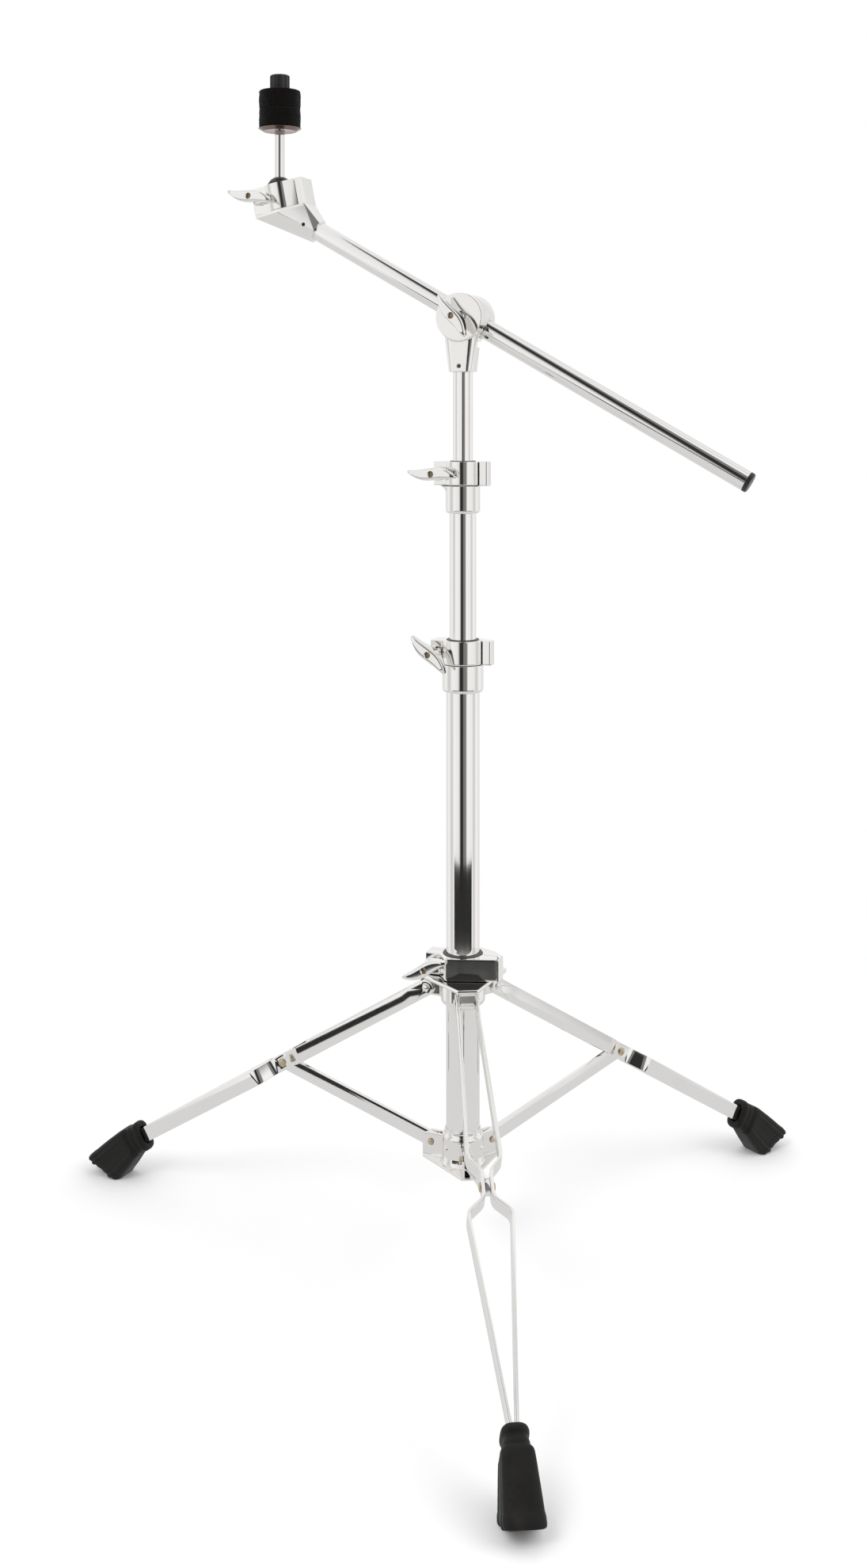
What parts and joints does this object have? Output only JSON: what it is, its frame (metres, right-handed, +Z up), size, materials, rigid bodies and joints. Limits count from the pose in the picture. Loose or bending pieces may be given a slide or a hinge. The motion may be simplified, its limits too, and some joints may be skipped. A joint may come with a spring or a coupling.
{
  "type": "cymbal boom stand",
  "caption": "Folding cymbal boom stand: double-braced tripod with rubber feet, telescopic chromed column, disc hinge with sliding boom, and ball tilter with felted cymbal seat.",
  "frame": {"origin": "on the floor, on the axis of the column", "axes": "+Z up along the column; the front leg points along -Y"},
  "size_m": [0.7488, 0.6485, 1.126],
  "materials": {
    "chromed_steel": "bright polished plate",
    "chromed_casting": "bright polished plate over a casting",
    "passivated_steel": "yellow passivated",
    "dark_steel": "blackened",
    "black_rubber": "matt moulded",
    "black_felt": "pressed wool felt",
    "black_plastic": "satin moulded",
    "dark_nylon": "satin moulded",
    "white_nylon": "satin moulded"
  },
  "bodies": {
    "base": {"base_tube": "chromed_steel", "lower_hub": "chromed_casting", "strut_pivot_pins": "passivated_steel", "base_clamp": "chromed_casting", "base_clamp_jaw": "chromed_casting", "base_clamp_bush": "dark_nylon", "base_clamp_bolt": "passivated_steel"},
    "base_wing": {"base_wing_nut": "chromed_casting"},
    "collar": {"leg_collar": "chromed_casting", "leg_collar_jaw": "chromed_casting", "leg_collar_bush": "dark_nylon", "leg_hinge_pins": "chromed_steel", "leg_collar_bolt": "passivated_steel"},
    "collar_wing": {"collar_wing_nut": "chromed_casting"},
    "middle_slider": {"middle_glide": "white_nylon"},
    "middle_stage": {"middle_tube": "chromed_steel", "middle_clamp": "chromed_casting", "middle_clamp_jaw": "chromed_casting", "middle_clamp_bush": "dark_nylon", "middle_clamp_bolt": "passivated_steel"},
    "middle_wing": {"middle_wing_nut": "chromed_casting"},
    "upper_slider": {"upper_glide": "white_nylon"},
    "upper_stage": {"upper_tube": "chromed_steel", "hinge_neck": "chromed_casting", "neck_roll_pin": "dark_steel"},
    "boom_holder": {"hinge_drum": "chromed_casting", "boom_eye_bolt": "passivated_steel"},
    "boom_wing": {"boom_wing_nut": "chromed_casting"},
    "boom_sleeve": {"boom_liner": "white_nylon"},
    "boom": {"boom_tube": "chromed_steel", "boom_end_cap": "black_plastic", "tilter_head": "chromed_casting", "tilter_jaw": "chromed_casting", "head_roll_pin": "dark_steel", "tilter_bolt": "passivated_steel"},
    "tilter_wing": {"tilter_wing_nut": "chromed_casting"},
    "seat": {"ball_seat": "dark_nylon"},
    "cymbal_mast": {"tilter_ball": "dark_steel", "cymbal_rod": "chromed_steel", "seat_washer": "chromed_steel", "cymbal_sleeve": "black_plastic", "lower_felt": "black_felt"},
    "top_felt": {"upper_felt": "black_felt"},
    "cap": {"cap_nut": "black_plastic"},
    "front_leg": {"front_leg_left_bar": "chromed_steel", "front_leg_right_bar": "chromed_steel", "front_leg_rivets": "passivated_steel", "front_foot": "black_rubber"},
    "front_brace": {"front_strut": "chromed_steel"},
    "right_leg": {"right_leg_left_bar": "chromed_steel", "right_leg_right_bar": "chromed_steel", "right_leg_rivets": "passivated_steel", "right_foot": "black_rubber"},
    "right_brace": {"right_strut": "chromed_steel"},
    "left_leg": {"left_leg_left_bar": "chromed_steel", "left_leg_right_bar": "chromed_steel", "left_leg_rivets": "passivated_steel", "left_foot": "black_rubber"},
    "left_brace": {"left_strut": "chromed_steel"}
  },
  "joints": [
    {"name": "collar_slide", "type": "slide", "parent": "base", "child": "collar", "axis": [0, 0, 1], "range_m": [0, 0.20781]},
    {"name": "collar_wing_turn", "type": "hinge", "parent": "collar", "child": "collar_wing", "pos_m": [-0.03329, -0.00655, 0.2725], "axis": [-0.4226, -0.9063, 0], "range_deg": [-35, 80]},
    {"name": "base_wing_turn", "type": "hinge", "parent": "base", "child": "base_wing", "pos_m": [-0.02955, -0.00829, 0.5665], "axis": [-0.4226, -0.9063, 0], "continuous": true},
    {"name": "middle_slide", "type": "slide", "parent": "base", "child": "middle_slider", "axis": [0, 0, 1], "range_m": [-0.11, 0.25]},
    {"name": "middle_swivel", "type": "hinge", "parent": "middle_slider", "child": "middle_stage", "pos_m": [0, 0, 0.2], "axis": [0, 0, 1], "continuous": true},
    {"name": "middle_wing_turn", "type": "hinge", "parent": "middle_stage", "child": "middle_wing", "pos_m": [-0.02667, -0.00963, 0.7345], "axis": [-0.4226, -0.9063, 0], "continuous": true},
    {"name": "upper_slide", "type": "slide", "parent": "middle_stage", "child": "upper_slider", "axis": [0, 0, 1], "range_m": [-0.075, 0.25]},
    {"name": "upper_swivel", "type": "hinge", "parent": "upper_slider", "child": "upper_stage", "pos_m": [0, 0, 0.33], "axis": [0, 0, 1], "continuous": true},
    {"name": "boom_tilt", "type": "hinge", "parent": "upper_stage", "child": "boom_holder", "pos_m": [0, 0, 0.8815], "axis": [0.4226, 0.9063, 0], "range_deg": [-70, 12]},
    {"name": "boom_wing_turn", "type": "hinge", "parent": "boom_holder", "child": "boom_wing", "pos_m": [-0.00845, -0.01813, 0.8815], "axis": [-0.4226, -0.9063, 0], "continuous": true},
    {"name": "boom_roll", "type": "hinge", "parent": "boom_holder", "child": "boom_sleeve", "pos_m": [0.00579, 0.01242, 0.8815], "axis": [0.7865, -0.3667, -0.497], "range_deg": [-40, 40]},
    {"name": "boom_slide", "type": "slide", "parent": "boom_sleeve", "child": "boom", "axis": [0.7865, -0.3667, -0.497], "range_m": [-0.24, 0.11]},
    {"name": "tilter_wing_turn", "type": "hinge", "parent": "boom", "child": "tilter_wing", "pos_m": [-0.18826, 0.1029, 1.00344], "axis": [-0.4226, -0.9063, 0], "continuous": true},
    {"name": "seat_roll", "type": "hinge", "parent": "boom", "child": "seat", "pos_m": [-0.17243, 0.09552, 1.01302], "axis": [0.9063, -0.4226, 0], "range_deg": [-20, 20]},
    {"name": "rod_tilt", "type": "hinge", "parent": "seat", "child": "cymbal_mast", "pos_m": [-0.17243, 0.09552, 1.01302], "axis": [0.4226, 0.9063, 0], "range_deg": [-30, 20]},
    {"name": "top_felt_lift", "type": "slide", "parent": "cymbal_mast", "child": "top_felt", "axis": [0, 0, 1], "range_m": [0, 0.006]},
    {"name": "cap_turn", "type": "hinge", "parent": "top_felt", "child": "cap", "pos_m": [-0.17243, 0.09552, 1.11802], "axis": [0, 0, 1], "continuous": true},
    {"name": "front_leg_fold", "type": "hinge", "parent": "collar", "child": "front_leg", "pos_m": [0, -0.034, 0.2475], "axis": [1, 0, 0], "range_deg": [0, 53.3]},
    {"name": "front_strut_fold", "type": "hinge", "parent": "base", "child": "front_brace", "pos_m": [0, -0.031, 0.101], "axis": [-1, 0, 0], "range_deg": [0, 66.88]},
    {"name": "right_leg_fold", "type": "hinge", "parent": "collar", "child": "right_leg", "pos_m": [0.02944, 0.017, 0.2475], "axis": [-0.5, 0.866, 0], "range_deg": [0, 53.3]},
    {"name": "right_strut_fold", "type": "hinge", "parent": "base", "child": "right_brace", "pos_m": [0.02685, 0.0155, 0.101], "axis": [0.5, -0.866, 0], "range_deg": [0, 66.88]},
    {"name": "left_leg_fold", "type": "hinge", "parent": "collar", "child": "left_leg", "pos_m": [-0.02944, 0.017, 0.2475], "axis": [-0.5, -0.866, 0], "range_deg": [0, 53.3]},
    {"name": "left_strut_fold", "type": "hinge", "parent": "base", "child": "left_brace", "pos_m": [-0.02685, 0.0155, 0.101], "axis": [0.5, 0.866, 0], "range_deg": [0, 66.88]}
  ],
  "couplings": [
    {"joint": "front_leg_fold", "follows": "collar_slide", "rad_per_m": 4.4764},
    {"joint": "front_strut_fold", "follows": "collar_slide", "rad_per_m": 5.6167},
    {"joint": "right_leg_fold", "follows": "collar_slide", "rad_per_m": 4.4764},
    {"joint": "right_strut_fold", "follows": "collar_slide", "rad_per_m": 5.6167},
    {"joint": "left_leg_fold", "follows": "collar_slide", "rad_per_m": 4.4764},
    {"joint": "left_strut_fold", "follows": "collar_slide", "rad_per_m": 5.6167}
  ]
}
